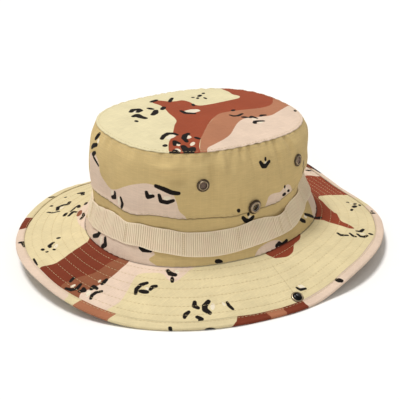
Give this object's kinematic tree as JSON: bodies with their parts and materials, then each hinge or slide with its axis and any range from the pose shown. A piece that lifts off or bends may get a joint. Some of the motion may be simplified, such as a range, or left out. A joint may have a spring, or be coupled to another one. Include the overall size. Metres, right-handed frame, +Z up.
{
  "type": "boonie hat",
  "caption": "Soft cotton field hat with a wide stitched brim that snaps up at each side, a webbing loop band, screened vents and press snaps.",
  "frame": {"origin": "centre of the overall box, on the surface that the hat lies on", "axes": "+Z up, -X towards the wearer's front, -Y towards the wearer's left"},
  "size_m": [0.3215, 0.2852, 0.1209],
  "materials": {
    "camouflage_cloth": "cotton poplin printed in sand, pink, two browns, black and white chips",
    "binding_tape": "bias tape of the same printed cotton, edge stitched",
    "webbing": "ribbed cotton webbing, matt",
    "sweatband_cloth": "plain twill, matt",
    "interlining": "stiff felted interlining",
    "antique_brass": "darkened brass, rubbed brighter on its edges",
    "gunmetal": "blackened brass, semi-gloss",
    "spring_steel": "bright wire",
    "wire_screen": "fine dark woven wire"
  },
  "bodies": {
    "crown": {"crown_top": "camouflage_cloth", "crown_side_upper": "camouflage_cloth", "crown_side_lower": "camouflage_cloth", "loop_band": "webbing", "sweatband": "sweatband_cloth", "brim_upper_middle": "camouflage_cloth", "brim_interlining_middle": "interlining", "brim_under_middle": "camouflage_cloth", "binding_front": "binding_tape", "binding_rear": "binding_tape", "vent_left_front_eyelet": "antique_brass", "vent_left_front_washer": "antique_brass", "vent_left_front_screen": "wire_screen", "vent_left_rear_eyelet": "antique_brass", "vent_left_rear_washer": "antique_brass", "vent_left_rear_screen": "wire_screen", "vent_right_front_eyelet": "antique_brass", "vent_right_front_washer": "antique_brass", "vent_right_front_screen": "wire_screen", "vent_right_rear_eyelet": "antique_brass", "vent_right_rear_washer": "antique_brass", "vent_right_rear_screen": "wire_screen", "crown_snap_left_socket": "antique_brass", "crown_snap_left_spring": "spring_steel", "crown_snap_left_cap": "antique_brass", "crown_snap_right_socket": "antique_brass", "crown_snap_right_spring": "spring_steel", "crown_snap_right_cap": "antique_brass"},
    "left_flap": {"brim_upper_left": "camouflage_cloth", "brim_interlining_left": "interlining", "brim_under_left": "camouflage_cloth", "binding_left": "binding_tape", "brim_snap_left_stud": "gunmetal", "brim_snap_left_cap": "gunmetal"},
    "right_flap": {"brim_upper_right": "camouflage_cloth", "brim_interlining_right": "interlining", "brim_under_right": "camouflage_cloth", "binding_right": "binding_tape", "brim_snap_right_stud": "gunmetal", "brim_snap_right_cap": "gunmetal"}
  },
  "joints": [
    {"name": "left_brim_fold", "type": "hinge", "parent": "crown", "child": "left_flap", "pos_m": [0, -0.0929, 0.025], "axis": [-1, 0, 0], "range_deg": [0, 129]},
    {"name": "right_brim_fold", "type": "hinge", "parent": "crown", "child": "right_flap", "pos_m": [0, 0.0909, 0.025], "axis": [1, 0, 0], "range_deg": [0, 124]}
  ]
}
